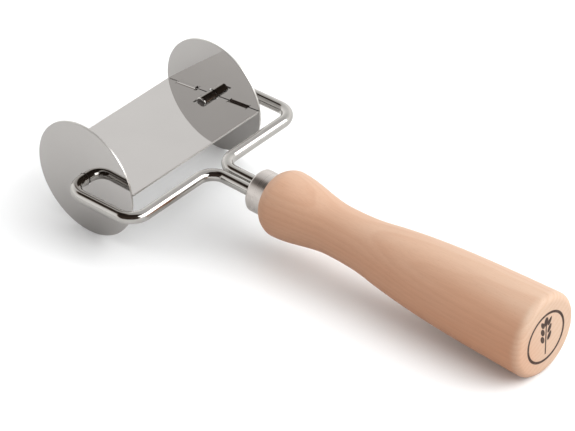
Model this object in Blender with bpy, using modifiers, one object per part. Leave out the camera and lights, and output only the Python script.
"""Hand roller that cuts rolled dough into squares: a wire fork in a turned wooden grip,
with a free-spinning cutter of two thin discs and one full-width blade between them.

The frame stands the tool on a table: +X towards the butt of the grip, +Y along the axle,
+Z up, and the origin under the middle of the whole tool."""

import math

import bmesh
import bpy
from mathutils import Vector

MM = 0.001

# Cutter: two discs and a blade that turn together on the ends of the fork
DISC_RADIUS = 25.0 * MM
DISC_THICKNESS = 0.8 * MM
DISC_HOLE_RADIUS = 2.8 * MM
CUTTER_WIDTH = 75.4 * MM
BLADE_THICKNESS = 0.8 * MM
BLADE_HALF_WIDTH = 24.9 * MM
BLADE_REST_TILT = math.radians(4.4)
NOTCH_HALF_WIDTH = 3.1 * MM
NOTCH_DEPTH = 8.6 * MM
TAB_OFFSET = 14.0 * MM
TAB_WIDTH = 10.0 * MM
TAB_HEIGHT = 1.2 * MM
TAB_INNER_RADIUS = 0.5 * MM
TAB_RELIEF = 0.4 * MM

# Fork: two bent wires, side by side in the neck
WIRE_RADIUS = 2.5 * MM
BAR_TO_AXLE = 34.5 * MM
ARM_OFFSET = 47.2 * MM
NECK_OFFSET = 2.65 * MM
BEND_RADIUS = 7.5 * MM
STUB_INSIDE = 7.5 * MM
TANG_END = 70.0 * MM
GRIP_PITCH = math.radians(1.6)

# Ferrule: a drawn cup, measured along the grip from the fork's cross bar
FERRULE_FRONT = 23.0 * MM
FERRULE_RADIUS = 8.85 * MM
FERRULE_WALL = 0.8 * MM
FERRULE_EDGE = 0.9 * MM

# Grip: turned beech, measured the same way
GRIP_FRONT = 31.2 * MM
GRIP_LENGTH = 132.6 * MM
MOUTH_RADIUS = 9.6 * MM
DOME_LENGTH = 6.2 * MM
DOME_POWER = 1.24
BULGE_RADIUS = 13.75 * MM
WAIST = (32.8 * MM, 10.33 * MM, 0.0)
SWELL = (52.7 * MM, 11.62 * MM, 0.168)
BUTT_RADIUS = 17.3 * MM
BUTT_SLOPE = 0.036
BUTT_EDGE = 2.9 * MM
SOCKET_DEPTH = 2.0 * MM
TENON_RADIUS = 7.6 * MM
BORE_RADIUS = 5.6 * MM

# Space between pieces that touch
GAP = 0.3 * MM

TURN_STEPS = 56
DISC_STEPS = 96


def lower_butt_corner():
    """Centre of the butt's rounded lower edge from the axle, in the fork's own plane: along, up."""
    along = GRIP_FRONT + GRIP_LENGTH - BUTT_EDGE
    below = BUTT_RADIUS - BUTT_EDGE
    forward = BAR_TO_AXLE + along * math.cos(GRIP_PITCH) - below * math.sin(GRIP_PITCH)
    return forward, -along * math.sin(GRIP_PITCH) - below * math.cos(GRIP_PITCH)


def resting_tilt():
    """How far the fork dips when the discs and the butt both stand on the table."""
    forward, up = lower_butt_corner()
    drop = (DISC_RADIUS - BUTT_EDGE) / math.hypot(forward, up)
    return math.asin(drop) + math.atan2(up, forward)


FORK_TILT = resting_tilt()


def butt_reach():
    """How far the butt's upper edge lies from the axle along X."""
    slope = FORK_TILT + GRIP_PITCH
    corner = GRIP_FRONT + GRIP_LENGTH - BUTT_EDGE
    along = BAR_TO_AXLE * math.cos(FORK_TILT) + corner * math.cos(slope)
    return along + (BUTT_RADIUS - BUTT_EDGE) * math.sin(slope) + BUTT_EDGE


AXLE = Vector(((DISC_RADIUS - butt_reach()) / 2, 0.0, DISC_RADIUS))


def clear_scene():
    for old in list(bpy.data.objects):
        bpy.data.objects.remove(old, do_unlink=True)


def new_collection(name):
    made = bpy.data.collections.new(name)
    bpy.context.scene.collection.children.link(made)
    return made


def new_material(name, colour, roughness, metallic):
    made = bpy.data.materials.new(name)
    made.use_nodes = True
    shader = made.node_tree.nodes["Principled BSDF"]
    shader.inputs["Base Color"].default_value = (*colour, 1.0)
    shader.inputs["Roughness"].default_value = roughness
    shader.inputs["Metallic"].default_value = metallic
    return made


def place(made, collection, parent, material=None):
    collection.objects.link(made)
    made.parent = parent
    if material:
        made.data.materials.append(material)
    return made


def new_frame(name, collection, location, tilt, parent=None):
    """An empty whose X axis is pitched down by the tilt, about the axle's direction."""
    made = bpy.data.objects.new(name, None)
    made.location = location
    made.rotation_euler = (0.0, tilt, 0.0)
    return place(made, collection, parent)


def shade(made, sharp_degrees=35.0):
    made.data.shade_smooth()
    made.data.set_sharp_from_angle(angle=math.radians(sharp_degrees))


def turned(name, profile, steps, closed=False):
    """A profile of (along, radius) pairs turned about Z, listed down the outer side."""
    mesh = bpy.data.meshes.new(name)
    outline = bmesh.new()
    points = [outline.verts.new((radius, 0.0, along)) for along, radius in profile]
    for first, second in zip(points, points[1:]):
        outline.edges.new((first, second))
    if closed:
        outline.edges.new((points[-1], points[0]))
    outline.to_mesh(mesh)
    outline.free()
    made = bpy.data.objects.new(name, mesh)
    screw = made.modifiers.new("turn", "SCREW")
    screw.axis = "Z"
    screw.steps = steps
    screw.render_steps = steps
    screw.use_merge_vertices = True
    screw.merge_threshold = 0.00001
    screw.use_smooth_shade = True
    return made


def arc(centre, radius, start_degrees, end_degrees, count):
    """Points on a circle, both ends included, as (first, second) coordinates."""
    points = []
    for step in range(count + 1):
        turn = math.radians(start_degrees + (end_degrees - start_degrees) * step / count)
        points.append((centre[0] + radius * math.cos(turn), centre[1] + radius * math.sin(turn)))
    return points


def flat_mesh(name, outline, thickness):
    """A flat outline given half its thickness each way, as a closed mesh."""
    curve = bpy.data.curves.new(name, "CURVE")
    curve.dimensions = "2D"
    curve.fill_mode = "BOTH"
    curve.extrude = thickness / 2
    spline = curve.splines.new("POLY")
    spline.points.add(len(outline) - 1)
    for point, (first, second) in zip(spline.points, outline):
        point.co = (first, second, 0.0, 1.0)
    spline.use_cyclic_u = True
    return meshed(bpy.data.objects.new(name, curve))


def meshed(curved):
    """The same object as a mesh, with its loose caps welded."""
    bpy.context.scene.collection.objects.link(curved)
    view = bpy.context.evaluated_depsgraph_get()
    mesh = bpy.data.meshes.new_from_object(curved.evaluated_get(view))
    name = curved.name
    bpy.data.objects.remove(curved, do_unlink=True)
    welded = bmesh.new()
    welded.from_mesh(mesh)
    bmesh.ops.remove_doubles(welded, verts=welded.verts, dist=0.000001)
    bmesh.ops.recalc_face_normals(welded, faces=welded.faces)
    welded.to_mesh(mesh)
    welded.free()
    return bpy.data.objects.new(name, mesh)


def combine(made, tool, operation):
    """Join or cut by a tool that stays in the scene as a guide."""
    tool.hide_render = True
    tool.display_type = "WIRE"
    change = made.modifiers.new(tool.name, "BOOLEAN")
    change.operation = operation
    change.object = tool
    change.solver = "EXACT"


def rounded_path(corners, radius, count):
    """The corners joined by straight runs, with an arc of the radius at each inner one."""
    path = [corners[0]]
    for before, corner, after in zip(corners, corners[1:], corners[2:]):
        inward = (before - corner).normalized()
        outward = (after - corner).normalized()
        half = inward.angle(outward) / 2
        centre = corner + (inward + outward).normalized() * radius / math.sin(half)
        first = corner + inward * radius / math.tan(half) - centre
        last = corner + outward * radius / math.tan(half) - centre
        sweep = first.angle(last)
        for step in range(count + 1):
            share = step / count
            mix = first * math.sin((1 - share) * sweep) + last * math.sin(share * sweep)
            path.append(centre + mix / math.sin(sweep))
    path.append(corners[-1])
    return path


def make_fork_wire(name, side, parts, parent, material):
    """One wire, from its stub in the disc round the arm and cross bar to its tang."""
    stub_end = CUTTER_WIDTH / 2 - DISC_THICKNESS - STUB_INSIDE
    pitch = Vector((math.cos(GRIP_PITCH), 0.0, -math.sin(GRIP_PITCH)))
    neck = Vector((BAR_TO_AXLE, side * NECK_OFFSET, 0.0))
    corners = [
        Vector((0.0, side * stub_end, 0.0)),
        Vector((0.0, side * ARM_OFFSET, 0.0)),
        Vector((BAR_TO_AXLE, side * ARM_OFFSET, 0.0)),
        neck,
        neck + pitch * TANG_END,
    ]
    path = rounded_path(corners, BEND_RADIUS, 8)
    curve = bpy.data.curves.new(name, "CURVE")
    curve.dimensions = "3D"
    curve.bevel_depth = WIRE_RADIUS
    curve.bevel_resolution = 6
    curve.use_fill_caps = True
    spline = curve.splines.new("POLY")
    spline.points.add(len(path) - 1)
    for point, place_at in zip(spline.points, path):
        point.co = (*place_at, 1.0)
    made = bpy.data.objects.new(name, curve)
    return place(made, parts, parent, material)


def make_ferrule(parts, tools, parent, material):
    """A round cup with a slot in its front for the two wires."""
    outer = FERRULE_RADIUS
    inner = outer - FERRULE_WALL
    back = GRIP_FRONT + SOCKET_DEPTH - GAP
    floor = FERRULE_FRONT + FERRULE_WALL
    rounding = arc((FERRULE_FRONT + FERRULE_EDGE, outer - FERRULE_EDGE), FERRULE_EDGE, 90, 180, 5)
    profile = [(back, outer), *rounding, (FERRULE_FRONT, 0.0)]
    inside = [(floor, 0.0), (floor, inner), (back, inner)]
    made = turned("ferrule", profile + inside, TURN_STEPS, closed=True)
    half = NECK_OFFSET
    width = WIRE_RADIUS + GAP
    ends = arc((0.0, half), width, 0, 180, 10) + arc((0.0, -half), width, 180, 360, 10)
    slot = flat_mesh("ferrule_slot", ends, 8 * FERRULE_WALL)
    slot.location = (0.0, 0.0, FERRULE_FRONT)
    place(slot, tools, parent)
    combine(made, slot, "DIFFERENCE")
    return place(made, parts, parent, material)


def side_radius(along):
    """The grip's radius behind the dome, as smooth runs between its bulge, waist, swell and butt."""
    stations = [
        (DOME_LENGTH, BULGE_RADIUS, 0.0),
        WAIST,
        SWELL,
        (GRIP_LENGTH - BUTT_EDGE, BUTT_RADIUS, BUTT_SLOPE),
    ]
    for (start, low, leaving), (end, high, arriving) in zip(stations, stations[1:]):
        if along <= end:
            break
    run = end - start
    share = (along - start) / run
    rise = share * share * (3 - 2 * share)
    first = share * (1 - share) ** 2 * run * leaving
    last = share * share * (share - 1) * run * arriving
    return low + (high - low) * rise + first + last


def grip_profile():
    """From the butt's centre over the outside to the mouth, then down the bore."""
    butt = GRIP_FRONT + GRIP_LENGTH
    profile = [(butt, 0.0)]
    corner = (butt - BUTT_EDGE, BUTT_RADIUS - BUTT_EDGE)
    profile += arc(corner, BUTT_EDGE, 0, 88, 6)
    steps = 30
    for step in range(1, steps + 1):
        along = GRIP_LENGTH - BUTT_EDGE + (DOME_LENGTH - GRIP_LENGTH + BUTT_EDGE) * step / steps
        profile.append((GRIP_FRONT + along, side_radius(along)))
    rounds = 7
    for step in range(rounds - 1, -1, -1):
        turn = math.pi / 2 * step / rounds
        along = DOME_LENGTH * (1 - math.cos(turn) ** DOME_POWER)
        rise = (BULGE_RADIUS - MOUTH_RADIUS) * math.sin(turn) ** DOME_POWER
        profile.append((GRIP_FRONT + along, MOUTH_RADIUS + rise))
    socket = FERRULE_RADIUS + GAP
    tenon = FERRULE_FRONT + FERRULE_WALL + GAP
    profile += [
        (GRIP_FRONT, socket),
        (GRIP_FRONT + SOCKET_DEPTH, socket),
        (GRIP_FRONT + SOCKET_DEPTH, TENON_RADIUS),
        (tenon, TENON_RADIUS),
        (tenon, BORE_RADIUS),
        (TANG_END + 2 * MM, BORE_RADIUS),
        (TANG_END + 4 * MM, 0.0),
    ]
    return profile


def make_grip(parts, parent, material):
    return place(turned("grip", grip_profile(), TURN_STEPS), parts, parent, material)


def make_disc(name, side, parts, parent, material):
    """A thin round disc with a plain hole for the fork's stub."""
    half = DISC_THICKNESS / 2
    edge = 0.1 * MM
    profile = [
        (half, DISC_RADIUS - edge),
        (half - edge, DISC_RADIUS),
        (edge - half, DISC_RADIUS),
        (-half, DISC_RADIUS - edge),
        (-half, DISC_HOLE_RADIUS),
        (half, DISC_HOLE_RADIUS),
    ]
    made = turned(name, profile, DISC_STEPS, closed=True)
    made.location = (0.0, side * (CUTTER_WIDTH / 2 - half), 0.0)
    made.rotation_euler = (math.radians(90), 0.0, 0.0)
    return place(made, parts, parent, material)


def blade_outline(half_length):
    """The flat blade seen from above: a notch for each stub and a relief for each tab."""
    relief = TAB_WIDTH / 2 + TAB_RELIEF
    depth = TAB_INNER_RADIUS + BLADE_THICKNESS + TAB_RELIEF
    cuts = [
        (-TAB_OFFSET - relief, -TAB_OFFSET + relief, depth),
        (-NOTCH_HALF_WIDTH, NOTCH_HALF_WIDTH, NOTCH_DEPTH),
        (TAB_OFFSET - relief, TAB_OFFSET + relief, depth),
    ]
    end = [(-BLADE_HALF_WIDTH, half_length)]
    for start, stop, cut in cuts:
        low = half_length - cut
        end += [(start, half_length), (start, low), (stop, low), (stop, half_length)]
    end.append((BLADE_HALF_WIDTH, half_length))
    return end + [(-first, -second) for first, second in end]


def tab_outline():
    """The bent tab from the side: (out from the blade, up), with its bend as two arcs."""
    thick = BLADE_THICKNESS
    inner = TAB_INNER_RADIUS
    outer = inner + thick
    centre = (-outer, outer - thick / 2)
    root = -outer - TAB_RELIEF - 1.0 * MM
    under = [(root, -thick / 2), *arc(centre, outer, -90, 0, 5)]
    top = [(0.0, TAB_HEIGHT), (-thick, TAB_HEIGHT)]
    over = [*arc(centre, inner, 0, -90, 5), (root, thick / 2)]
    return under + top + over


def make_blade(parts, tools, parent, material):
    """The blade plate with four bent tabs: at each disc, the one nearer the fork is bent down."""
    half_length = CUTTER_WIDTH / 2 - DISC_THICKNESS - GAP
    made = flat_mesh("blade", blade_outline(half_length), BLADE_THICKNESS)
    for side in (1, -1):
        for up in (1, -1):
            label = f"tab_{'right' if side > 0 else 'left'}_{'up' if up > 0 else 'down'}"
            tab = flat_mesh(label, tab_outline(), TAB_WIDTH)
            # The outline stands on edge: its first axis runs out along the axle, its second up
            tab.location = (-up * TAB_OFFSET, side * half_length, 0.0)
            tab.rotation_euler = (math.radians(90), 0.0, math.radians(90 * side))
            if up < 0:
                tab.rotation_euler = (math.radians(-90), 0.0, math.radians(90 * side))
            place(tab, tools, parent)
            combine(made, tab, "UNION")
    return place(made, parts, parent, material)


def main():
    clear_scene()
    parts = new_collection("dough_square_cutter")
    tools = new_collection("guides")

    beech = new_material("beech", (0.72, 0.50, 0.34), 0.55, 0.0)
    brushed = new_material("brushed_steel", (0.62, 0.61, 0.59), 0.32, 1.0)
    wire_steel = new_material("polished_wire", (0.66, 0.65, 0.63), 0.12, 1.0)
    sheet_steel = new_material("mirror_sheet", (0.68, 0.67, 0.65), 0.05, 1.0)

    fork_frame = new_frame("fork_frame", parts, AXLE, FORK_TILT)
    neck_frame = new_frame("neck_frame", parts, (BAR_TO_AXLE, 0.0, 0.0), GRIP_PITCH, fork_frame)
    turning_frame = bpy.data.objects.new("turning_frame", None)
    turning_frame.rotation_euler = (0.0, math.radians(90), 0.0)
    place(turning_frame, parts, neck_frame)
    cutter_frame = new_frame("cutter_frame", parts, AXLE, -BLADE_REST_TILT)

    grip = make_grip(parts, turning_frame, beech)
    ferrule = make_ferrule(parts, tools, turning_frame, brushed)
    make_fork_wire("fork_wire_left", -1, parts, fork_frame, wire_steel)
    make_fork_wire("fork_wire_right", 1, parts, fork_frame, wire_steel)
    left = make_disc("disc_left", -1, parts, cutter_frame, sheet_steel)
    right = make_disc("disc_right", 1, parts, cutter_frame, sheet_steel)
    blade = make_blade(parts, tools, cutter_frame, sheet_steel)
    for piece in (grip, ferrule, left, right, blade):
        shade(piece)


main()
